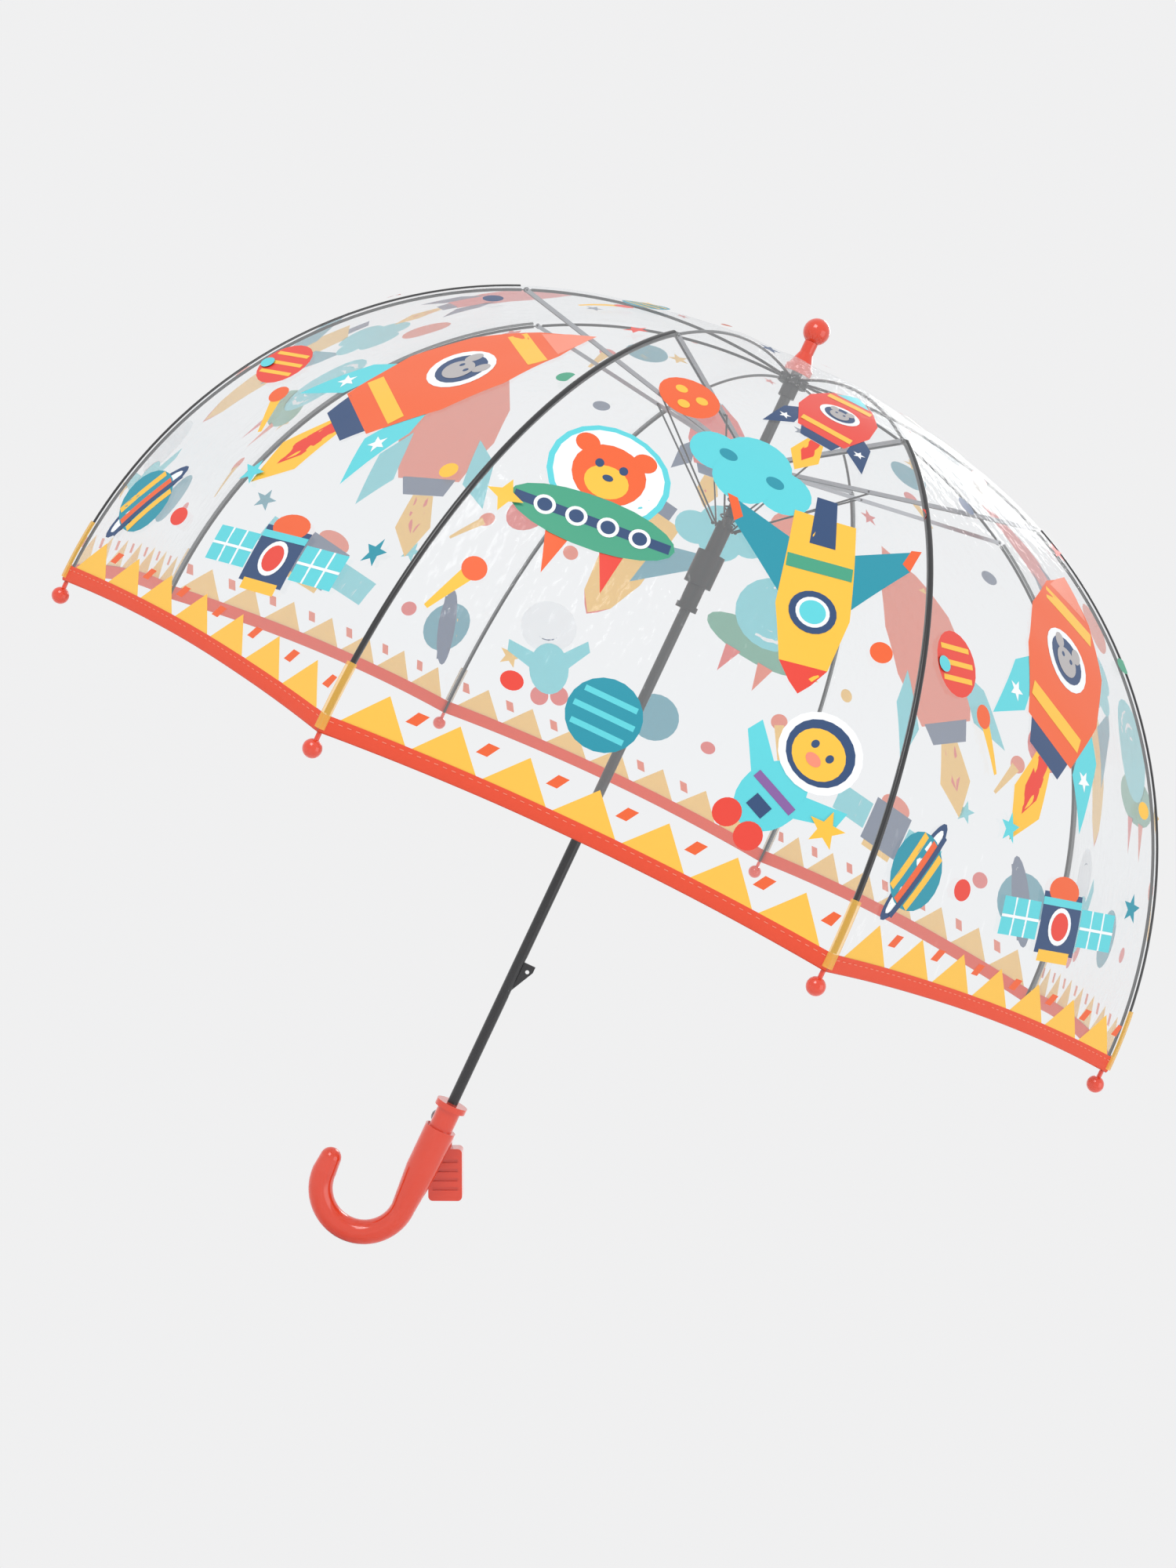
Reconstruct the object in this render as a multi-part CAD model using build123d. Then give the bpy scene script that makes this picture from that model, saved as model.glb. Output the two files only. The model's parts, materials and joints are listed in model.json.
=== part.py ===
from build123d import *
import math
import os

# A child's clear dome umbrella, open. Millimetres. The shaft lies on the Z axis.
# Origin: on the shaft axis, at the handle's top face. The hook opens towards -X.

# Driving dimensions
RIBS = 8
FIRST_RIB_AZIMUTH = 22.5
TOP_PIVOT = (8.0, 508.0)  # rib hinge on the top notch: radius, height
JOINT = (182.0, 479.0)  # where rib, rib end and stretcher meet
NOTCH_PIVOT = (8.0, 450.0)  # stretcher hinge on the middle notch, as far from JOINT as TOP_PIVOT
RIM = (357.0, 207.0)  # end of a rib at the hem
UPPER_BOW = 15.0  # half the angle that the upper rib turns through, degrees
LOWER_BOW = 32.6
LINK_SHARE = 0.4  # how far out along a stretcher its link is pinned
LINK_FOOT = (7.4, 406.0)  # lower end of a link, beside the runner

# Shaft
SHAFT_R = 3.5
SHAFT_BORE = 2.6
SHAFT_TOP = 521.0
SHAFT_BOTTOM = -40.0
SLIDING_GAP = 0.08

# Wires and channels
RIB_R = 0.9
EYE_R = 1.6
PIN_R = 0.6
PIN_GAP = 0.08
HALF_EYE = (0.08, 0.95)  # each of the two rib eyes fills one side of the fork
FORK_INNER = 1.1
FORK_OUTER = 1.5
CHANNEL_HALF_HEIGHT = 1.2
WEB_THICKNESS = 0.4
WEB_CUT_AT_JOINT = 9.0
WEB_CUT_AT_NOTCH = 4.0
LINK_R = 0.6
LINK_OFFSET = 2.7

# Canopy
CANOPY_GAP = 2.7  # from a rib's centre line to the film's outer face
FILM = 0.4
BINDING = 9.5
BINDING_THICKNESS = 1.2
HEM_DROP = 3.0
ARC_STEPS = 4  # each panel outline is drawn as half as many circular arcs

# Runner, heights counted from the middle notch's pivot
RUNNER_TOP = -41.0
RUNNER_WIDE_TOP = -62.0
RUNNER_WIDE_BOTTOM = -84.0
RUNNER_BOTTOM = -101.0
RUNNER_WIDE_R = 9.2
RUNNER_SLEEVE_R = 6.0
CATCH_SLOT = 30.0

# Catch, a thin lever in the shaft on the +X side
CATCH_BOTTOM = 80.0
CATCH_TOP = 102.0
CATCH_REACH = 11.0
CATCH_PIVOT = (1.3, 81.6)
CATCH_PIN_R = 0.5

# Handle
COLLAR_R = 7.8
STEM_R = 10.3
HOOK_TUBE_R = 7.9
HOOK_R = 28.0
STEM_END = -48.0
HOOK_START = -75.0
HOOK_END_RISE = 9.0

# Whistle, hanging at the lean of the shaft
WHISTLE_PIVOT = (-6.0, 14.5, -11.0)
RING_R = 4.5
WHISTLE_Y = 18.7
WHISTLE_LEAN = -25.3

os.makedirs("parts", exist_ok=True)


def save(name, solid):
    export_step(solid, f"parts/{name}.step")


def spoke(solid, index):
    return solid.rotate(Axis.Z, FIRST_RIB_AZIMUTH + index * 360 / RIBS)


def unit(a, b):
    dx, dz = b[0] - a[0], b[1] - a[1]
    length = math.hypot(dx, dz)
    return dx / length, dz / length


def along(a, b, distance):
    ux, uz = unit(a, b)
    return a[0] + ux * distance, a[1] + uz * distance


def bow(a, b, half_turn, offset=0.0):
    """Start, middle and end of the outward arc from a to b, moved outwards by offset."""
    chord = math.dist(a, b)
    ux, uz = unit(a, b)
    nx, nz = -uz, ux
    radius = chord / 2 / math.sin(math.radians(half_turn))
    drop = radius * math.cos(math.radians(half_turn))
    centre = ((a[0] + b[0]) / 2 - nx * drop, (a[1] + b[1]) / 2 - nz * drop)
    middle = (centre[0] + nx * radius, centre[1] + nz * radius)
    scale = (radius + offset) / radius
    return [
        (centre[0] + (p[0] - centre[0]) * scale, centre[1] + (p[1] - centre[1]) * scale)
        for p in (a, middle, b)
    ]


def point(p, y=0.0):
    return Vector(p[0], y, p[1])


def disc(p, radius, y_low, y_high):
    """A flat round eye in the spoke's plane."""
    return Pos(p[0], (y_low + y_high) / 2, p[1]) * Rot(90, 0, 0) * Cylinder(radius, y_high - y_low)


def rod(a, b, radius):
    a, b = Vector(*a), Vector(*b)
    plane = Plane(origin=(a + b) * 0.5, z_dir=b - a)
    return plane.location * Cylinder(radius, (b - a).length)


def bowed_wire(a, b, half_turn, inset_a, inset_b):
    """A round wire along the bow from a to b, left short of each end."""
    start, middle, end = bow(a, b, half_turn)
    arc = Edge.make_three_point_arc(point(start), point(middle), point(end))
    trimmed = arc.trim(inset_a / arc.length, 1 - inset_b / arc.length)
    face = Plane(origin=trimmed @ 0, z_dir=trimmed % 0) * Circle(RIB_R)
    return sweep(face, path=trimmed), trimmed


def rib_upper():
    """Wire rib from the top notch to the stretcher joint, with the joint's pin."""
    wire, path = bowed_wire(TOP_PIVOT, JOINT, UPPER_BOW, 1.0, 3.2)
    root_eye = disc(TOP_PIVOT, 1.7, -0.8, 0.8)
    low, high = HALF_EYE
    end_eye = disc(JOINT, EYE_R, -high, -low)
    neck = rod(((path @ 1).X, -(low + high) / 2, (path @ 1).Z), (JOINT[0], -(low + high) / 2, JOINT[1]), 0.42)
    pin = disc(JOINT, PIN_R, -FORK_OUTER - 0.3, FORK_OUTER + 0.3)
    hole = disc(TOP_PIVOT, PIN_R + 0.1, -2, 2)
    return wire + root_eye + end_eye + neck + pin - hole


def rib_lower():
    """Wire rib from the stretcher joint to the hem."""
    wire, path = bowed_wire(JOINT, RIM, LOWER_BOW, 3.2, 0.0)
    low, high = HALF_EYE
    middle = (low + high) / 2
    eye = disc(JOINT, EYE_R, low, high)
    neck = rod(((path @ 0).X, middle, (path @ 0).Z), (JOINT[0], middle, JOINT[1]), 0.42)
    hole = disc(JOINT, PIN_R + PIN_GAP, -2, 2)
    return wire + eye + neck - hole


def stretcher():
    """U channel, open on its lower side, forked at both ends."""
    length = math.dist(NOTCH_PIVOT, JOINT)
    outer = Box(length, 2 * FORK_OUTER, 2 * CHANNEL_HALF_HEIGHT)
    outer = outer + Pos(-length / 2, 0, 0) * Rot(90, 0, 0) * Cylinder(CHANNEL_HALF_HEIGHT, 2 * FORK_OUTER)
    outer = outer + Pos(length / 2, 0, 0) * Rot(90, 0, 0) * Cylinder(CHANNEL_HALF_HEIGHT, 2 * FORK_OUTER)
    trough = Pos(0, 0, -WEB_THICKNESS) * Box(length + 10, 2 * FORK_INNER, 2 * CHANNEL_HALF_HEIGHT)
    joint_mouth = Pos(length / 2, 0, 0) * Box(2 * WEB_CUT_AT_JOINT, 2 * FORK_INNER, 6)
    notch_mouth = Pos(-length / 2, 0, 0) * Box(2 * WEB_CUT_AT_NOTCH, 2 * FORK_INNER, 6)
    hole = Rot(90, 0, 0) * Cylinder(PIN_R + PIN_GAP, 8)
    channel = outer - trough - joint_mouth - notch_mouth
    for share in (-0.5, -0.5 + LINK_SHARE, 0.5):
        channel = channel - Pos(share * length, 0, 0) * hole
    lift = math.degrees(math.atan2(JOINT[1] - NOTCH_PIVOT[1], JOINT[0] - NOTCH_PIVOT[0]))
    middle = ((NOTCH_PIVOT[0] + JOINT[0]) / 2, 0, (NOTCH_PIVOT[1] + JOINT[1]) / 2)
    return Pos(*middle) * Rot(0, -lift, 0) * channel


def link():
    """Wire link beside the stretcher, with a cross pin through it."""
    head = along(NOTCH_PIVOT, JOINT, LINK_SHARE * math.dist(NOTCH_PIVOT, JOINT))
    wire = rod((head[0], LINK_OFFSET, head[1]), (LINK_FOOT[0], LINK_OFFSET, LINK_FOOT[1]), LINK_R)
    pin = disc(head, PIN_R, -FORK_OUTER - 0.4, LINK_OFFSET)
    ball = Pos(head[0], LINK_OFFSET, head[1]) * Sphere(PIN_R + 0.1)
    foot = disc(LINK_FOOT, 1.1, LINK_OFFSET - 0.4, LINK_OFFSET + 0.4)
    return wire + pin + ball + foot


def tip():
    """Round bead with a short neck, pushed on the end of a rib."""
    neck = Pos(RIM[0], 0, RIM[1] - 2.5) * Cylinder(1.3, 5)
    ball = Pos(RIM[0], 0, RIM[1] - 8.6) * Sphere(5)
    return neck + ball


def squeezed_arc(a, b, half_turn, offset, from_peak=False):
    """Points of the bow from a to b, in the middle plane of a flat panel."""
    start, middle, end = bow(a, b, half_turn, offset)
    chord = math.dist(start, end)
    radius = chord / 2 / math.sin(math.radians(half_turn))
    ux, uz = unit(start, end)
    centre = (middle[0] + uz * radius, middle[1] - ux * radius)
    first = 0.0 if from_peak else math.atan2(start[0] - centre[0], start[1] - centre[1])
    last = math.atan2(end[0] - centre[0], end[1] - centre[1])
    squeeze = math.cos(math.pi / RIBS)
    points = []
    for step in range(ARC_STEPS + 1):
        angle = first + (last - first) * step / ARC_STEPS
        points.append((squeeze * (centre[0] + radius * math.sin(angle)), centre[1] + radius * math.cos(angle)))
    return points


def arcs_through(points):
    """Circular arcs through each point, its middle neighbour and the next but one."""
    return [Edge.make_three_point_arc(*points[i : i + 3]) for i in range(0, len(points) - 1, 2)]


def vault(offset, hem_drop):
    """Eight-sided dome over the ribs: the space under four crossing arches."""
    crown = squeezed_arc(TOP_PIVOT, JOINT, UPPER_BOW, offset, from_peak=True)
    skirt = squeezed_arc(JOINT, RIM, LOWER_BOW, offset)
    foot = (skirt[-1][0], skirt[-1][1] - hem_drop)

    def side(sign):
        top = [point((sign * r, z)) for r, z in crown]
        low = top[-1:] + [point((sign * r, z)) for r, z in skirt[1:]]
        hem = Edge.make_line(low[-1], point((sign * foot[0], foot[1])))
        return arcs_through(top) + arcs_through(low) + [hem]

    peak = crown[0]
    lid = Edge.make_line(point((-peak[0], peak[1])), point(peak))
    floor = Edge.make_line(point(foot), point((-foot[0], foot[1])))
    outline = Wire([lid] + side(1) + [floor] + side(-1)[::-1])
    arch = extrude(Face(outline), amount=400, both=True)
    dome = arch
    for turn in range(1, RIBS // 2):
        dome = dome & arch.rotate(Axis.Z, turn * 360 / RIBS)
    return dome


def canopy():
    """Clear film dome, open below, with the hole for the shaft at its top."""
    skin = vault(CANOPY_GAP, HEM_DROP) - vault(CANOPY_GAP - FILM, HEM_DROP + 1)
    return skin - Pos(0, 0, SHAFT_TOP) * Cylinder(SHAFT_R + 0.6, 60)


def edge_binding():
    """Tape round the hem, outside the film."""
    outer = vault(CANOPY_GAP + BINDING_THICKNESS, HEM_DROP)
    inner = vault(CANOPY_GAP + 0.1, HEM_DROP + 1)
    band = Pos(0, 0, RIM[1] + BINDING / 2 - HEM_DROP) * Box(900, 900, BINDING)
    return (outer - inner) & band


def shaft():
    tube = Pos(0, 0, (SHAFT_TOP + SHAFT_BOTTOM) / 2) * Cylinder(SHAFT_R, SHAFT_TOP - SHAFT_BOTTOM)
    bore = Pos(0, 0, (SHAFT_TOP + SHAFT_BOTTOM) / 2) * Cylinder(SHAFT_BORE, SHAFT_TOP - SHAFT_BOTTOM)
    window = Pos(SHAFT_R, 0, (CATCH_TOP + CATCH_BOTTOM) / 2) * Box(2 * SHAFT_R, 2.2, CATCH_TOP - CATCH_BOTTOM + 5)
    return tube - bore - window - catch_pin()


def top_notch():
    """Slotted disc that holds the ribs' inner ends on a wire."""
    body = Pos(0, 0, TOP_PIVOT[1] - 0.6) * Cylinder(9.6, 5.6)
    body = body + Pos(0, 0, TOP_PIVOT[1] - 7) * Cylinder(5.4, 9)
    body = body - Pos(0, 0, TOP_PIVOT[1]) * Cylinder(SHAFT_R, 60)
    for index in range(RIBS):
        body = body - spoke(Pos(10.6, 0, TOP_PIVOT[1]) * Box(10, 2.2, 20), index)
    return body - notch_wire()


def notch_wire():
    return Pos(0, 0, TOP_PIVOT[1]) * Torus(TOP_PIVOT[0], PIN_R - 0.1)


def middle_notch():
    """Sliding core with one ear and cross pin for each stretcher."""
    height = NOTCH_PIVOT[1]
    core = Pos(0, 0, height + 1) * Cylinder(5.6, 14)
    for index in range(RIBS):
        ear = Pos(7.2, 0, height) * Box(4.0, 1.6, 2.4)
        pin = disc(NOTCH_PIVOT, PIN_R, -FORK_OUTER - 0.2, FORK_OUTER + 0.2)
        core = core + spoke(ear + pin, index)
    return core - Pos(0, 0, height) * Cylinder(SHAFT_R + SLIDING_GAP, 60)


def opening_spring():
    """Compression coil between the middle notch and the runner."""
    turns = 6
    height = -RUNNER_TOP - 6 - 1.6
    helix = Helix(pitch=height / turns, height=height, radius=5.4)
    wire = sweep(Plane(origin=helix @ 0, z_dir=helix % 0) * Circle(0.6), path=helix, is_frenet=True)
    return Pos(0, 0, NOTCH_PIVOT[1] + RUNNER_TOP + 0.8) * wire


def runner():
    """Sliding sleeve that is pulled down by hand, slotted at the bottom to pass the catch."""
    base = NOTCH_PIVOT[1]

    def ring(radius, low, high):
        return Pos(0, 0, base + (low + high) / 2) * Cylinder(radius, high - low)

    body = ring(5.2, RUNNER_WIDE_TOP, RUNNER_TOP)
    body = body + ring(RUNNER_WIDE_R, RUNNER_WIDE_BOTTOM, RUNNER_WIDE_TOP)
    body = body + ring(RUNNER_SLEEVE_R, RUNNER_BOTTOM, RUNNER_WIDE_BOTTOM)
    body = body + ring(7.2, RUNNER_BOTTOM, RUNNER_BOTTOM + 3.5)
    body = body - Pos(0, 0, base) * Cylinder(SHAFT_R + SLIDING_GAP, 400)
    slot = Pos(10, 0, base + RUNNER_BOTTOM + CATCH_SLOT / 2) * Box(20, 2.6, CATCH_SLOT)
    return body - slot


def catch():
    """Thin ramped lever that holds the closed runner down; it pivots at its lower end."""
    outline = Polyline(
        (0.4, CATCH_BOTTOM),
        (2.2, CATCH_BOTTOM),
        (CATCH_REACH, CATCH_TOP - 4),
        (CATCH_REACH, CATCH_TOP),
        (2.2, CATCH_TOP),
        (0.4, CATCH_TOP - 6),
        close=True,
    )
    blade = extrude(Plane.XZ * make_face(outline), amount=0.7, both=True)
    return blade - disc((7.5, CATCH_TOP - 5), 1.3, -2, 2) - disc(CATCH_PIVOT, CATCH_PIN_R + PIN_GAP, -2, 2)


def catch_pin():
    """Cross pin in the shaft that the catch turns on."""
    return disc(CATCH_PIVOT, CATCH_PIN_R, -3.1, 3.1)


def ferrule():
    """Turned top knob: flared foot, waisted neck and ball."""
    foot = Pos(0, 0, 514.6) * Cylinder(9, 4.2)
    cone = Pos(0, 0, 521.5) * Cone(8.2, 4.4, 10)
    neck = Pos(0, 0, 530) * Cylinder(4.4, 8)
    ball = Pos(0, 0, 541.5) * Sphere(8.5)
    bore = Pos(0, 0, 516.5) * Cylinder(SHAFT_R, 2 * (SHAFT_TOP - 516.5))
    return foot + cone + neck + ball - bore


def handle():
    """J hook with a necked collar under a flared ring, and a lug for the whistle."""
    ring = Pos(0, 0, -2) * Cylinder(10.4, 4)
    collar = Pos(0, 0, -11) * Cylinder(COLLAR_R, 16)
    stem = Pos(0, 0, (STEM_END - 18) / 2) * Cylinder(STEM_R, -18 - STEM_END)
    taper_length = STEM_END - HOOK_START
    taper = Pos(0, 0, STEM_END - taper_length / 2) * Cone(HOOK_TUBE_R, STEM_R, taper_length)
    circle = Pos(0, 0, HOOK_START) * Circle(HOOK_TUBE_R)
    bend = revolve(circle, Axis((-HOOK_R, 0, HOOK_START), (0, 1, 0)), 180)
    if bend.bounding_box().min.Z > HOOK_START - HOOK_R:
        bend = revolve(circle, Axis((-HOOK_R, 0, HOOK_START), (0, -1, 0)), 180)
    end = Pos(-2 * HOOK_R, 0, HOOK_START + HOOK_END_RISE / 2) * Cone(HOOK_TUBE_R, 7.0, HOOK_END_RISE)
    knob = Pos(-2 * HOOK_R, 0, HOOK_START + HOOK_END_RISE) * Sphere(7.0)
    px, py, pz = WHISTLE_PIVOT
    lug = Pos(px, py / 2 + 3.5, pz) * Box(1.2, py, 8) - Pos(px, py, pz) * Rot(0, 90, 0) * Cylinder(2.4, 6)
    lug = lug - Pos(0, 0, -11) * Cylinder(COLLAR_R - 0.5, 20)
    body = ring + collar + stem + taper + bend + end + knob + lug
    socket = Pos(0, 0, SHAFT_BOTTOM / 2) * Cylinder(SHAFT_R, -SHAFT_BOTTOM)
    return body - socket


def hang(solid):
    return solid.rotate(Axis(WHISTLE_PIVOT, (0, 1, 0)), WHISTLE_LEAN)


def whistle_ring():
    px, py, pz = WHISTLE_PIVOT
    return Pos(px, py, pz - RING_R) * Rot(90, 0, 0) * Torus(RING_R, 0.7)


def whistle():
    """Toy whistle: round lobe, slotted mouthpiece block and a tab on the ring."""
    px, py, pz = WHISTLE_PIVOT
    tab_z = pz - 2 * RING_R
    tab = Pos(px, py, tab_z - 2.0) * Box(2, 2.4, 8)
    tab = tab - Pos(px, py, tab_z) * Rot(0, 90, 0) * Cylinder(1.3, 20)
    lobe = Pos(px, WHISTLE_Y, tab_z - 12) * Rot(90, 0, 0) * Cylinder(8.5, 13)
    block = Pos(px + 4, WHISTLE_Y, tab_z - 33) * Box(22, 13, 34)
    block = fillet(block.edges().filter_by(Axis.Y), 3)
    for step in range(4):
        groove = Pos(px + 4, WHISTLE_Y - 6.5, tab_z - 24 - 6 * step) * Box(16, 2.4, 2.2)
        block = block - groove
    return tab + lobe + block


def main():
    spokes = {
        "rib_upper": rib_upper(),
        "rib_lower": rib_lower(),
        "stretcher": stretcher(),
        "link": link(),
        "tip": tip(),
    }
    for index in range(RIBS):
        for name, solid in spokes.items():
            save(f"{name}_{index + 1}", spoke(solid, index))
    save("canopy", canopy())
    save("edge_binding", edge_binding())
    save("shaft", shaft())
    save("top_notch", top_notch())
    save("notch_wire", notch_wire())
    save("middle_notch", middle_notch())
    save("opening_spring", opening_spring())
    save("runner", runner())
    save("catch", catch())
    save("catch_pin", catch_pin())
    save("ferrule", ferrule())
    save("handle", handle())
    save("whistle_ring", hang(whistle_ring()))
    save("whistle", hang(whistle()))


main()
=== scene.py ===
import json
import math
import bpy
from mathutils import Matrix, Vector, noise


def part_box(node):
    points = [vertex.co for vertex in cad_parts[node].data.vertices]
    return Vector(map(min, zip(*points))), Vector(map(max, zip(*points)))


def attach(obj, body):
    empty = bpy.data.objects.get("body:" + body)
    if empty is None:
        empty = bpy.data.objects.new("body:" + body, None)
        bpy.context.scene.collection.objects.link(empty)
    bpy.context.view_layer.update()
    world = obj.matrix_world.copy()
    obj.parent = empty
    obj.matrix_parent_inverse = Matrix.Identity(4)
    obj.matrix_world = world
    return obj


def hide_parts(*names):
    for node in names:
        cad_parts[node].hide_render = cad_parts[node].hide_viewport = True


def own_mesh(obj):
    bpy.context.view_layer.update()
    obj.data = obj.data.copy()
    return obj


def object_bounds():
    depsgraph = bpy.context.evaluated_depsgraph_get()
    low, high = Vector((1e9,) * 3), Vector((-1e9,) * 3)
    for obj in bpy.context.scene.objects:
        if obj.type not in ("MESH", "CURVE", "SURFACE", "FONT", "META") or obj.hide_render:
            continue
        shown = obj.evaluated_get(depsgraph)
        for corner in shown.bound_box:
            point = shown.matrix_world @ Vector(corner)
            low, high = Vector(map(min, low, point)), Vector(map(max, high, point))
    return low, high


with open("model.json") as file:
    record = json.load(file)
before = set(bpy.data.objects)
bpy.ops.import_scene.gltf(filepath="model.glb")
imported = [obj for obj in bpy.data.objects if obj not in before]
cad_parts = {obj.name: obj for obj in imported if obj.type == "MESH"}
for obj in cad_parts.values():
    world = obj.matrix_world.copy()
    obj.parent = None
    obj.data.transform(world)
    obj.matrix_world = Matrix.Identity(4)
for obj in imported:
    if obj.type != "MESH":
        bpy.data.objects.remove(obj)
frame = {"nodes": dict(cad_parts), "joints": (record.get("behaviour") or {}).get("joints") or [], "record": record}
cad_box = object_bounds()

# Driving dimensions, metres unless said otherwise. The bows match the CAD ribs.
RIBS = 8
FIRST_AZIMUTH = math.radians(22.5)
HALF_STEP = math.pi / RIBS
joints = {j["name"]: j for j in frame["joints"]}
UPPER_BOW = math.radians(15.0)
LOWER_BOW = math.radians(32.6)
FILM_GAP = 0.0025  # from a rib's centre line to the film
INK_LIFT = 0.00012
INK_STEP = 0.25  # each shape lies this share of INK_LIFT over the one before
INK_MARGIN = 0.015  # prints keep this share of the width clear of the ribs
INK_FACE = 8.0  # widest printed face, in millimetres
HEM_LIFT = 0.006  # how far the hem rises between two ribs
HEM_LIFT_REACH = 0.12  # how far up the panel that lift fades out
RIPPLE = 0.0011  # unevenness of the film, with its grain across and up the panel
RIPPLE_ACROSS = 5
RIPPLE_UP = 28
CROWN_SHARE = 0.985  # the film stops short of the shaft by the rest
TAPE_WIDTH = 0.0095
STITCH_HALF_LENGTH = 0.004  # as a share of the panel's width
STITCH_WIDTH = 0.0004
STITCH_LIFT = 0.0008
STITCH_PLACE = 0.72  # height of the stitches, as a share of the tape's width
POCKET_LENGTH = 0.038
POCKET_R = 0.0030
CHANNEL_R = 0.0016
COVER_SINK = 0.0006  # how far the channel and pocket sink below the film's line
MM = 0.001


def radial(vector):
    return (math.hypot(vector[0], vector[1]), vector[2])


TOP = radial(joints["canopy_fold"]["pos_m"])
ELBOW = radial(joints["stretcher_fold_1"]["pos_m"])
tip_low, tip_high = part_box("tip_1")
RIM = (radial((tip_low + tip_high) / 2)[0], tip_high.z)


class Bow:
    """A circular arc in a rib's plane, bulging outwards, from a to b."""

    def __init__(self, a, b, half_turn, offset):
        chord = math.dist(a, b)
        ux, uz = (b[0] - a[0]) / chord, (b[1] - a[1]) / chord
        radius = chord / 2 / math.sin(half_turn)
        drop = radius * math.cos(half_turn)
        self.centre = ((a[0] + b[0]) / 2 + uz * drop, (a[1] + b[1]) / 2 - ux * drop)
        self.radius = radius + offset
        self.first = math.atan2(a[0] - self.centre[0], a[1] - self.centre[1])
        self.last = math.atan2(b[0] - self.centre[0], b[1] - self.centre[1])
        self.length = self.radius * (self.last - self.first)

    def at(self, distance):
        """(radius, height) and outward normal, at a distance from the arc's outer end."""
        angle = self.last - distance / self.radius
        normal = (math.sin(angle), math.cos(angle))
        place = (self.centre[0] + self.radius * normal[0], self.centre[1] + self.radius * normal[1])
        return place, normal


SKIRT = Bow(ELBOW, RIM, LOWER_BOW, FILM_GAP)
CROWN = Bow(TOP, ELBOW, UPPER_BOW, FILM_GAP)
TOTAL = SKIRT.length + CROWN.length


def profile(s):
    """The film's line over a rib at arc length s from the hem."""
    if s <= SKIRT.length:
        return SKIRT.at(s)
    return CROWN.at(min(s - SKIRT.length, CROWN.length))


def azimuth(index):
    return FIRST_AZIMUTH + index * 2 * HALF_STEP


def film_point(panel, fraction, s, lift=0.0):
    """A point of a panel: fraction 0 is its first rib, 1 the next; s runs up from the hem."""
    (r, z), normal = profile(s)
    a = Vector((r * math.cos(azimuth(panel)), r * math.sin(azimuth(panel)), z))
    b = Vector((r * math.cos(azimuth(panel + 1)), r * math.sin(azimuth(panel + 1)), z))
    middle = azimuth(panel) + HALF_STEP
    out = Vector((normal[0] * math.cos(middle), normal[0] * math.sin(middle), normal[1]))
    belly = 4 * fraction * (1 - fraction)
    place = a.lerp(b, fraction)
    place.z += HEM_LIFT * belly * max(0.0, 1 - s / HEM_LIFT_REACH) ** 2
    ripple = noise.noise(Vector((fraction * RIPPLE_ACROSS + panel * 7, s * RIPPLE_UP, 0.3)))
    return place + out * (lift + RIPPLE * ripple * belly)


def width_at(s):
    return 2 * profile(s)[0][0] * math.sin(HALF_STEP)


def panel_point(panel, x, s, lift):
    """A point at x metres right of the panel's centre line, seen from outside."""
    s = min(max(s, 0.0), TOTAL)
    fraction = min(max(0.5 + x / width_at(s), INK_MARGIN), 1 - INK_MARGIN)
    return film_point(panel, fraction, s, lift)


# Materials


def shader(name):
    material = bpy.data.materials.new(name)
    material.use_nodes = True
    nodes = material.node_tree.nodes
    return material, nodes, material.node_tree.links, nodes["Principled BSDF"]


def plain(name, colour, roughness, metallic=0.0, grain=600.0, bump=0.05, coat=0.0, clearness=0.0):
    """A finish with fine uneven gloss and a slight surface grain."""
    material, nodes, links, surface = shader(name)
    surface.inputs["Base Color"].default_value = (*colour, 1)
    surface.inputs["Metallic"].default_value = metallic
    surface.inputs["Coat Weight"].default_value = coat
    surface.inputs["Coat Roughness"].default_value = 0.06
    surface.inputs["Alpha"].default_value = 1 - clearness
    texture = nodes.new("ShaderNodeTexNoise")
    texture.inputs["Scale"].default_value = grain
    gloss_range = nodes.new("ShaderNodeMapRange")
    gloss_range.inputs["To Min"].default_value = max(0.02, roughness - 0.06)
    gloss_range.inputs["To Max"].default_value = roughness + 0.06
    links.new(texture.outputs["Fac"], gloss_range.inputs["Value"])
    links.new(gloss_range.outputs["Result"], surface.inputs["Roughness"])
    relief = nodes.new("ShaderNodeBump")
    relief.inputs["Strength"].default_value = bump
    relief.inputs["Distance"].default_value = 0.0002
    links.new(texture.outputs["Fac"], relief.inputs["Height"])
    links.new(relief.outputs["Normal"], surface.inputs["Normal"])
    return material


HAZE_GLOW = 0.13  # share of pale haze in the clear film, painted as a faint even glow


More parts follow.
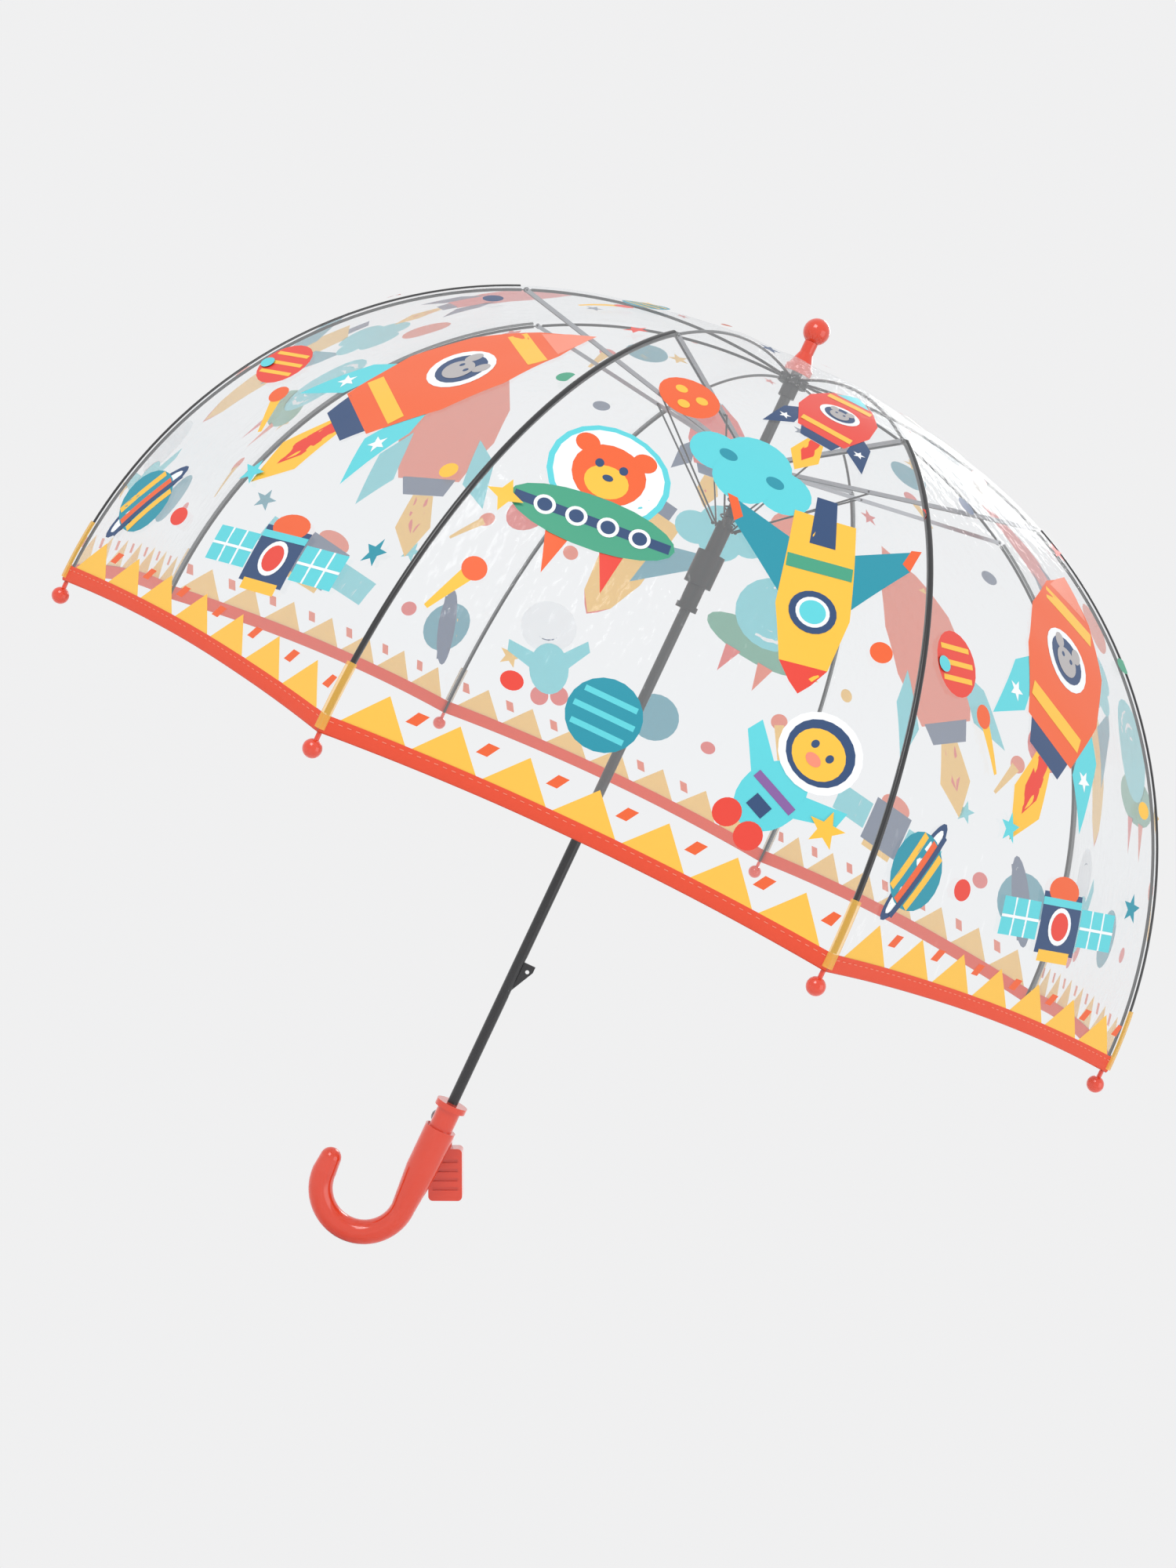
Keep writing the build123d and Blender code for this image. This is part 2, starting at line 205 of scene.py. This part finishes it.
def clear_film():
    """Clear soft film: see-through with a pale haze painted as a faint glow, glossier where seen edge-on, with
    soft ripples.
    """
    material = bpy.data.materials.new("clear_film")
    material.use_nodes = True
    nodes, links = material.node_tree.nodes, material.node_tree.links
    nodes.clear()
    output = nodes.new("ShaderNodeOutputMaterial")
    through = nodes.new("ShaderNodeBsdfTransparent")
    through.inputs["Color"].default_value = (0.99, 0.995, 1.0, 1)
    # Painted light: the haze is an emission of pale colour, so the film glows a little whatever the lamps do.
    haze_glow = nodes.new("ShaderNodeEmission")
    haze_glow.inputs["Color"].default_value = (0.96, 0.985, 1.0, 1)
    see_through_and_glow = nodes.new("ShaderNodeMixShader")
    see_through_and_glow.inputs["Fac"].default_value = HAZE_GLOW
    links.new(through.outputs["BSDF"], see_through_and_glow.inputs[1])
    links.new(haze_glow.outputs["Emission"], see_through_and_glow.inputs[2])
    gloss = nodes.new("ShaderNodeBsdfGlossy")
    gloss.inputs["Roughness"].default_value = 0.12
    texture = nodes.new("ShaderNodeTexNoise")
    texture.inputs["Scale"].default_value = 22.0
    relief = nodes.new("ShaderNodeBump")
    relief.inputs["Strength"].default_value = 0.35
    relief.inputs["Distance"].default_value = 0.004
    links.new(texture.outputs["Fac"], relief.inputs["Height"])
    links.new(relief.outputs["Normal"], gloss.inputs["Normal"])
    facing = nodes.new("ShaderNodeLayerWeight")
    facing.inputs["Blend"].default_value = 0.22
    share = nodes.new("ShaderNodeMapRange")
    share.inputs["To Min"].default_value = 0.015
    share.inputs["To Max"].default_value = 0.22
    links.new(facing.outputs["Facing"], share.inputs["Value"])
    mix = nodes.new("ShaderNodeMixShader")
    links.new(share.outputs["Result"], mix.inputs["Fac"])
    links.new(see_through_and_glow.outputs["Shader"], mix.inputs[1])
    links.new(gloss.outputs["BSDF"], mix.inputs[2])
    links.new(mix.outputs["Shader"], output.inputs["Surface"])
    return material


RED = (0.72, 0.045, 0.012)
INKS = {
    "orange": (0.80, 0.115, 0.025),
    "red": (0.75, 0.05, 0.03),
    "coral": (0.85, 0.25, 0.16),
    "yellow": (0.88, 0.50, 0.045),
    "mustard": (0.88, 0.50, 0.06),
    "navy": (0.02, 0.06, 0.16),
    "teal": (0.01, 0.27, 0.36),
    "cyan": (0.10, 0.60, 0.66),
    "green": (0.05, 0.33, 0.20),
    "white": (0.85, 0.87, 0.88),
    "grey": (0.42, 0.40, 0.40),
    "purple": (0.22, 0.10, 0.32),
}
FILM = clear_film()
INK = {name: plain(f"ink_{name}", colour, 0.35, grain=900, bump=0.03) for name, colour in INKS.items()}
FINISH = {
    "red_plastic": plain("red_plastic", RED, 0.16, coat=0.8, grain=120, bump=0.03),
    "black_plastic": plain("black_plastic", (0.012, 0.012, 0.014), 0.38),
    "black_steel": plain("black_steel", (0.014, 0.014, 0.016), 0.3, coat=0.3),
    "grey_steel": plain("grey_steel", (0.33, 0.34, 0.36), 0.34, metallic=0.85),
    "grey_plastic": plain("grey_plastic", (0.22, 0.23, 0.25), 0.42),
    "spring_steel": plain("spring_steel", (0.05, 0.05, 0.055), 0.3, metallic=0.8),
    "red_tape": plain("red_tape", (0.76, 0.065, 0.02), 0.55, grain=2500, bump=0.25),
}
POCKET = plain("pocket_film", (0.88, 0.50, 0.08), 0.25, clearness=0.35)

# Meshes


class Sheet:
    """Faces of one piece: points, quads or triangles, and a material for each."""

    def __init__(self):
        self.points, self.faces, self.marks, self.materials = [], [], [], []

    def face(self, indices, material):
        if material not in self.materials:
            self.materials.append(material)
        self.faces.append(indices)
        self.marks.append(self.materials.index(material))

    def grid(self, rows, material):
        """Joins rows of points, all the same length, with quads."""
        start, count = len(self.points), len(rows[0])
        for row in rows:
            self.points.extend(row)
        for i in range(len(rows) - 1):
            for j in range(count - 1):
                a = start + i * count + j
                self.face((a, a + 1, a + count + 1, a + count), material)

    def build(self, name):
        mesh = bpy.data.meshes.new(name)
        mesh.from_pydata([tuple(p) for p in self.points], [], self.faces)
        for material in self.materials:
            mesh.materials.append(material)
        mesh.polygons.foreach_set("material_index", self.marks)
        mesh.polygons.foreach_set("use_smooth", [True] * len(self.faces))
        mesh.update()
        thing = bpy.data.objects.new(name, mesh)
        bpy.context.scene.collection.objects.link(thing)
        return thing


class Print:
    """Draws flat shapes on one panel. Sizes are in millimetres: x from its middle, s up from the hem."""

    def __init__(self, panel, sheets):
        self.panel, self.sheets = panel, sheets
        self.layer = 0
        self.place = (0.0, 0.0, 0.0, 1.0)

    def at(self, x, s, turn=0.0, scale=1.0):
        self.place = (x, s, math.radians(turn), scale)

    def placed(self, outline):
        """The outline in panel millimetres, with points added on its long sides."""
        x0, s0, turn, scale = self.place
        c, d = math.cos(turn) * scale, math.sin(turn) * scale
        dense = []
        for (xa, sa), (xb, sb) in zip(outline, outline[1:] + outline[:1]):
            steps = max(1, int(math.hypot(xb - xa, sb - sa) * scale / INK_FACE))
            dense += [(xa + (xb - xa) * k / steps, sa + (sb - sa) * k / steps) for k in range(steps)]
        return [(x0 + x * c - s * d, s0 + x * d + s * c) for x, s in dense]

    def shape(self, outline, colour):
        """Fills an outline that can be seen whole from its middle."""
        self.layer += 1
        spot = self.placed(outline)
        count = len(spot)
        middle = (sum(p[0] for p in spot) / count, sum(p[1] for p in spot) / count)
        rings = max(2, int(max(math.dist(p, middle) for p in spot) / INK_FACE))
        lift = INK_LIFT * (1 + self.layer * INK_STEP)

        def ring_at(k):
            return [tuple(m + (v - m) * k / rings for m, v in zip(middle, p)) for p in spot]

        flat = [ring_at(k) for k in range(rings + 1)]
        used = {}
        for ring in range(rings):
            for j in range(count):
                after = (j + 1) % count
                corners = [(ring, j), (ring, after), (ring + 1, after), (ring + 1, j)]
                x = sum(flat[k][m][0] for k, m in corners) / 4
                s = sum(flat[k][m][1] for k, m in corners) / 4
                key = ("left" if x < 0 else "right", "crown" if s * MM > SKIRT.length else "skirt")
                sheet, indices = self.sheets[key], []
                for k, m in corners:
                    if (key, k, m) not in used:
                        used[key, k, m] = len(sheet.points)
                        px, ps = flat[k][m]
                        sheet.points.append(panel_point(self.panel, px * MM, ps * MM, lift))
                    indices.append(used[key, k, m])
                sheet.face(tuple(indices), INK[colour])

    def oval(self, x, s, rx, rs, colour):
        turns = 22
        angles = [k * 2 * math.pi / turns for k in range(turns)]
        self.shape([(x + rx * math.cos(a), s + rs * math.sin(a)) for a in angles], colour)

    def star(self, x, s, reach, colour, points=5, waist=0.42):
        corners = []
        for k in range(2 * points):
            a = math.pi / 2 + k * math.pi / points
            r = reach if k % 2 == 0 else reach * waist
            corners.append((x + r * math.cos(a), s + r * math.sin(a)))
        self.shape(corners, colour)

    def bar(self, x, s, wide, tall, colour):
        left, right, low, high = x - wide, x + wide, s - tall, s + tall
        self.shape([(left, low), (right, low), (right, high), (left, high)], colour)


def rocket(ink, body, nose, fin):
    """Upright rocket about 110 mm long round the local origin."""
    ink.shape([(-5, -40), (5, -40), (9, -58), (0, -74), (-9, -58)], "yellow")
    ink.shape([(-3, -40), (3, -40), (4, -54), (0, -63), (-4, -54)], "red")
    ink.shape([(-17, -32), (-32, -46), (-28, -18), (-16, -4)], fin)
    ink.shape([(17, -32), (32, -46), (28, -18), (16, -4)], fin)
    ink.star(-24, -29, 4, "white")
    ink.star(24, -29, 4, "white")
    ink.shape([(-10, -40), (10, -40), (13, -30), (-13, -30)], "navy")
    hull = [(-15, -31), (15, -31), (23, -5), (22, 18), (13, 40), (0, 56), (-13, 40), (-22, 18), (-23, -5)]
    ink.shape(hull, body)
    ink.shape([(-11, 40), (11, 40), (6, 49), (0, 57), (-6, 49)], nose)
    ink.bar(0, 32, 14, 3.5, "yellow")
    ink.bar(0, -20, 16, 3, "yellow")
    ink.oval(0, 8, 12.5, 12.5, "white")
    ink.oval(0, 8, 9.5, 9.5, "navy")
    for side in (-1, 1):
        ink.oval(side * 5, 14, 2.6, 3.4, "grey")
        ink.oval(side * 2.4, 9, 1.1, 1.3, "white")
    ink.oval(0, 7, 6, 6, "grey")
    for side in (-1, 1):
        ink.oval(side * 2.4, 9, 0.9, 1.1, "navy")


def ringed_planet(ink):
    ink.oval(0, 0, 30, 7, "navy")
    ink.oval(0, 0, 26, 4.6, "white")
    ink.oval(0, 0, 19, 19, "teal")
    for offset, colour in ((8, "yellow"), (0, "orange"), (-8, "yellow")):
        half = math.sqrt(18**2 - offset**2)
        ink.bar(0, offset, half, 2, colour)
    ink.bar(0, -3.5, 25, 1.6, "navy")


def striped_planet(ink, colour, stripe):
    ink.oval(0, 0, 15, 15, colour)
    for offset in (-7, 0, 7):
        ink.bar(0, offset, math.sqrt(14**2 - offset**2) * 0.9, 1.2, stripe)


def satellite(ink):
    for side in (-1, 1):
        ink.bar(side * 28, 0, 13, 8, "cyan")
        for k in (-1, 1):
            ink.bar(side * 28 + k * 4.4, 0, 0.6, 8, "white")
        ink.bar(side * 28, 0, 13, 0.6, "white")
    ink.bar(0, 0, 14, 13, "navy")
    ink.oval(0, 14, 11, 6, "orange")
    ink.bar(0, -14, 11, 2.5, "yellow")
    ink.bar(0, 9, 14, 1.6, "cyan")
    ink.oval(0, -1, 8, 8, "white")
    ink.oval(0, -1, 6, 6, "red")


def comet(ink, colour):
    ink.shape([(-3, 0), (3, 0), (1, -22), (-1, -22)], "yellow")
    ink.oval(0, 2, 5, 5, colour)


def shuttle(ink):
    """Winged shuttle with a round window."""
    ink.shape([(-8, -20), (-38, -34), (-34, -22), (-8, 10)], "teal")
    ink.shape([(8, -20), (38, -34), (34, -22), (8, 10)], "teal")
    ink.shape([(-34, -33), (-38, -34), (-34, -22), (-31, -25)], "orange")
    ink.shape([(34, -33), (38, -34), (34, -22), (31, -25)], "orange")
    ink.shape([(-12, -36), (12, -36), (14, 8), (9, 30), (0, 40), (-9, 30), (-14, 8)], "yellow")
    ink.shape([(-9, 30), (9, 30), (4, 37), (0, 41), (-4, 37)], "red")
    ink.shape([(-4, -46), (4, -46), (5, -22), (-5, -22)], "navy")
    ink.bar(0, -12, 12.5, 3, "green")
    ink.oval(0, 8, 9, 9, "navy")
    ink.oval(0, 8, 6.4, 6.4, "white")
    ink.oval(0, 8, 5, 5, "cyan")


def dome_ship(ink):
    """Round ship with a clear dome and a plain round-eared face."""
    ink.shape([(-6, -16), (-16, -16), (-12, -34)], "orange")
    ink.shape([(6, -16), (16, -16), (12, -34)], "red")
    ink.oval(0, 18, 25, 25, "cyan")
    ink.oval(0, 18, 22.5, 22.5, "white")
    for side in (-1, 1):
        ink.oval(side * 12, 30, 5, 5, "orange")
    ink.oval(0, 18, 15, 15, "orange")
    ink.oval(0, 14, 9, 8, "yellow")
    for side in (-1, 1):
        ink.oval(side * 5, 22, 1.8, 2.2, "navy")
    ink.oval(0, 16, 2.2, 1.6, "navy")
    ink.oval(0, -6, 34, 12, "green")
    ink.bar(0, -6, 32, 2.2, "navy")
    for k in (-1.5, -0.5, 0.5, 1.5):
        ink.oval(k * 13, -6, 4.4, 4.4, "white")
        ink.oval(k * 13, -6, 3, 3, "navy")


def space_walker(ink):
    """Small suited figure with a plain round-eared face."""
    ink.oval(0, -14, 12, 16, "cyan")
    for side in (-1, 1):
        ink.shape([(side * 9, -4), (side * 24, 4), (side * 25, -3), (side * 11, -14)], "cyan")
        ink.oval(side * 6, -31, 5.5, 6, "red")
    ink.bar(0, -12, 10, 1.8, "purple")
    ink.bar(0, -20, 4, 3, "navy")
    ink.oval(0, 12, 17, 16, "white")
    ink.oval(0, 12, 14, 13, "navy")
    ink.oval(0, 11, 11, 10, "yellow")
    for side in (-1, 1):
        ink.oval(side * 4, 13, 1.5, 1.8, "navy")
    ink.oval(0, 8, 3.4, 2.4, "coral")


def puff(ink):
    for x, s, r in ((-16, -2, 11), (0, 5, 15), (16, -2, 12), (0, -8, 13)):
        ink.oval(x, s, r, r, "cyan")
    for x in (-11, 11):
        ink.oval(x, 0, 4, 3, "teal")


def border(ink):
    """Mustard peaks with orange blocks between them, just above the tape."""
    low, high, pitch = 9.5, 30.0, 34.0
    half = width_at(0.02) / MM / 2 - 6
    count = int(2 * half / pitch)
    ink.at(0, 0)
    for k in range(count):
        x = -half + (k + 0.5) * 2 * half / count
        ink.shape([(x - pitch / 2, low), (x + pitch / 2, low), (x, high)], "mustard")
        ink.shape([(x + 12, high - 9), (x + 18, high - 9), (x + 22, high - 2), (x + 16, high - 2)], "orange")


def launch_print(ink):
    """The even panels: large rocket, two planets, satellite."""
    ink.at(22, 208, -24, 1.62)
    rocket(ink, "orange", "coral", "cyan")
    ink.at(-100, 62, 62, 1.1)
    ringed_planet(ink)
    ink.at(-92, 176, 10, 1.2)
    striped_planet(ink, "red", "yellow")
    ink.at(36, 66, 8, 1.35)
    satellite(ink)
    ink.at(0, 0)
    stars = [(-30, 104, 9, "cyan"), (104, 92, 9, "teal"), (66, 316, 8, "red"), (-14, 400, 8, "yellow")]
    for x, s, reach, colour in stars:
        ink.star(x, s, reach, colour)
    dots = [
        (-44, 298, 7, "navy"),
        (-60, 62, 7, "red"),
        (104, 150, 6, "yellow"),
        (96, 240, 6, "green"),
        (-104, 172, 5, "cyan"),
        (14, 440, 4, "orange"),
    ]
    for x, s, reach, colour in dots:
        ink.oval(x, s, reach, reach * 0.85, colour)
    ink.at(-66, 152, 30, 1.3)
    comet(ink, "orange")
    ink.at(10, 352, -20, 1.2)
    comet(ink, "red")
    ink.at(0, 382, 0, 1.0)
    striped_planet(ink, "teal", "yellow")


def crew_print(ink):
    """The odd panels: small rocket, dome ship, shuttle, walker."""
    ink.at(30, 322, -8, 0.95)
    rocket(ink, "red", "cyan", "navy")
    ink.at(-62, 166, 6, 1.3)
    dome_ship(ink)
    ink.at(0, 236, -10, 1.3)
    puff(ink)
    ink.at(56, 176, -168, 1.4)
    shuttle(ink)
    ink.at(-14, 66, 0, 1.3)
    striped_planet(ink, "teal", "cyan")
    ink.at(84, 82, -24, 1.3)
    space_walker(ink)
    ink.at(-46, 268, 0, 1.15)
    ink.oval(0, 0, 15, 15, "orange")
    for x, s in ((-5, 4), (6, 1), (-1, -7)):
        ink.oval(x, s, 3, 3, "yellow")
    ink.at(0, 0)
    stars = [
        (-20, 385, 7, "navy", 5),
        (98, 264, 8, "red", 5),
        (-106, 150, 10, "yellow", 4),
        (108, 62, 10, "yellow", 5),
        (14, 446, 5, "red", 5),
    ]
    for x, s, reach, colour, corners in stars:
        ink.star(x, s, reach, colour, corners)
    ink.oval(98, 160, 6, 6, "orange")
    ink.oval(-62, 62, 6, 5, "red")
    ink.at(-104, 104, -25, 1.3)
    comet(ink, "orange")


# Canopy pieces


def half_fold(thing, panel, side, part):
    """Half a panel is carried by its own rib and moves with it as the ribs fold."""
    rib = (panel + (side == "right")) % RIBS
    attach(thing, f"rib_{'upper' if part == 'crown' else 'lower'}_{rib + 1}")
    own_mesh(thing)


def spread(low, high, count):
    return [low + (high - low) * k / count for k in range(count + 1)]


HALVES = {"left": (0.0, 0.5), "right": (0.5, 1.0)}


def canopy_panel(panel):
    """The film and its print, as four pieces: two halves, each split at the stretcher joint."""
    heights = {
        "skirt": spread(0.0, SKIRT.length, 34),
        "crown": spread(SKIRT.length, SKIRT.length + CROWN.length * CROWN_SHARE, 20),
    }
    sheets = {}
    for side, (low, high) in HALVES.items():
        for part, levels in heights.items():
            sheet = Sheet()
            sheet.grid([[film_point(panel, f, s) for f in spread(low, high, 12)] for s in levels], FILM)
            sheets[side, part] = sheet
    ink = Print(panel, sheets)
    border(ink)
    if panel % 2 == 0:
        launch_print(ink)
    else:
        crew_print(ink)
    things = {}
    for (side, part), sheet in sheets.items():
        thing = sheet.build(f"canopy_{part}_{side}_{panel + 1}")
        half_fold(thing, panel, side, part)
        things[side, part] = thing
    return things["left", "skirt"]


def tape(panel):
    """Folded tape over the hem: outer face, fold and inner face, with a row of stitches."""
    fold, edge, corner = 0.0006, 0.0005, 0.001
    section = [(TAPE_WIDTH, edge), (corner, fold), (0.0, 0.0), (corner, -fold), (TAPE_WIDTH, -edge)]
    first = None
    for side, (low, high) in HALVES.items():
        sheet = Sheet()
        rows = [[film_point(panel, f, s, lift) for f in spread(low, high, 16)] for s, lift in section]
        sheet.grid(rows, FINISH["red_tape"])
        for f in spread(low, high, 30)[1:-1]:
            start = len(sheet.points)
            stitch_height = TAPE_WIDTH * STITCH_PLACE
            for across, up in ((-1, 0), (1, 0), (1, STITCH_WIDTH), (-1, STITCH_WIDTH)):
                place = film_point(panel, f + across * STITCH_HALF_LENGTH, stitch_height + up, STITCH_LIFT)
                sheet.points.append(place)
            sheet.face(tuple(range(start, start + 4)), INK["coral"])
        thing = sheet.build(f"hem_tape_{side}_{panel + 1}")
        half_fold(thing, panel, side, "skirt")
        first = first or thing
    return first


def half_tube(sheet, index, low, high, count, radius, sink, material):
    """An open-backed sleeve along a rib, between two arc lengths from the hem."""
    turn = azimuth(index)
    out = Vector((math.cos(turn), math.sin(turn), 0))
    side = Vector((-math.sin(turn), math.cos(turn), 0))
    angles = spread(0, math.pi, 10)
    rise = radius * 0.75
    rows = []
    for s in spread(low, high, count):
        (r, z), normal = profile(s)
        away = out * normal[0] + Vector((0, 0, normal[1]))
        centre = out * r + Vector((0, 0, z)) - away * sink
        rows.append([centre + side * (radius * math.cos(a)) + away * (rise * math.sin(a)) for a in angles])
    sheet.grid(rows, material)


def rib_cover(index):
    """Dark welded channel over the lower rib, with the clear yellow pocket at the hem."""
    sheet = Sheet()
    half_tube(sheet, index, 0.010, SKIRT.length - 0.004, 40, CHANNEL_R, COVER_SINK, FINISH["black_steel"])
    half_tube(sheet, index, 0.002, POCKET_LENGTH, 8, POCKET_R, COVER_SINK, POCKET)
    thing = sheet.build(f"rib_cover_{index + 1}")
    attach(thing, f"rib_lower_{index + 1}")


# Stage


def light(name, place, aim, power, size):
    lamp = bpy.data.lights.new(name, "AREA")
    lamp.energy, lamp.size = power, size
    thing = bpy.data.objects.new(name, lamp)
    thing.location = place
    thing.rotation_euler = (Vector(aim) - Vector(place)).to_track_quat("-Z", "Y").to_euler()
    bpy.context.scene.collection.objects.link(thing)


BACKDROP = (0.871, 0.871, 0.875)
LIGHTS = {
    "key": dict(place=(-0.9, -1.5, 1.6), aim=(0, 0, 0.3), power=13, size=0.9),
    "fill": dict(place=(1.6, -1.0, 0.6), aim=(0, 0, 0.25), power=6, size=1.4),
    "rim": dict(place=(0.4, 1.5, 1.2), aim=(0, 0, 0.35), power=7, size=0.6),
}


def stage(lowest):
    """Pale floor and world of one tone, so no horizon shows."""
    world = bpy.data.worlds.new("soft_room")
    bpy.context.scene.world = world
    world.use_nodes = True
    world.node_tree.nodes["Background"].inputs["Color"].default_value = (*BACKDROP, 1)
    bpy.ops.mesh.primitive_plane_add(size=6, location=(0, 0, lowest - 0.0005))
    floor = bpy.context.object
    floor.name = "floor"
    material = bpy.data.materials.new("pale_floor")
    material.use_nodes = True
    nodes, links = material.node_tree.nodes, material.node_tree.links
    surface = nodes["Principled BSDF"]
    surface.inputs["Base Color"].default_value = (*BACKDROP, 1)
    surface.inputs["Roughness"].default_value = 0.8
    glow = nodes.new("ShaderNodeEmission")
    glow.inputs["Color"].default_value = (*BACKDROP, 1)
    ray = nodes.new("ShaderNodeLightPath")
    mix = nodes.new("ShaderNodeMixShader")
    links.new(ray.outputs["Is Camera Ray"], mix.inputs["Fac"])
    links.new(surface.outputs["BSDF"], mix.inputs[1])
    links.new(glow.outputs["Emission"], mix.inputs[2])
    links.new(mix.outputs["Shader"], nodes["Material Output"].inputs["Surface"])
    floor.data.materials.append(material)
    for name, values in LIGHTS.items():
        light(name, **values)
    bpy.context.scene.view_settings.view_transform = "Standard"


SENSOR_HEIGHT = 36
LENS = 51.66
CAMERA_DISTANCE = 1.43
CAMERA_HEIGHT = 0.300
AIM = Vector((-0.0087, 0, 0.2226))
LEAN = math.radians(25.3)


def camera():
    data = bpy.data.cameras.new("camera")
    data.sensor_fit = "VERTICAL"
    data.sensor_height = SENSOR_HEIGHT
    data.lens = LENS
    thing = bpy.data.objects.new("camera", data)
    place = Vector((0, -CAMERA_DISTANCE, CAMERA_HEIGHT))
    back = (place - AIM).normalized()
    right = Vector((math.cos(LEAN), 0, math.sin(LEAN)))
    right = (right - back * right.dot(back)).normalized()
    up = back.cross(right)
    thing.matrix_world = Matrix.Translation(place) @ Matrix((right, up, back)).transposed().to_4x4()
    bpy.context.scene.collection.objects.link(thing)
    bpy.context.scene.camera = thing


def finish_cad_nodes():
    slots = {s["node"]: s["material_slot"] for s in frame["record"]["subparts"]}
    for name, node in frame["nodes"].items():
        if slots[name] in FINISH:
            node.data.materials.clear()
            node.data.materials.append(FINISH[slots[name]])


finish_cad_nodes()
skirts = [canopy_panel(panel) for panel in range(RIBS)]
tapes = [tape(panel) for panel in range(RIBS)]
for rib in range(RIBS):
    rib_cover(rib)
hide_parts("canopy")
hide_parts("edge_binding")
stage(cad_box[0][2])
camera()
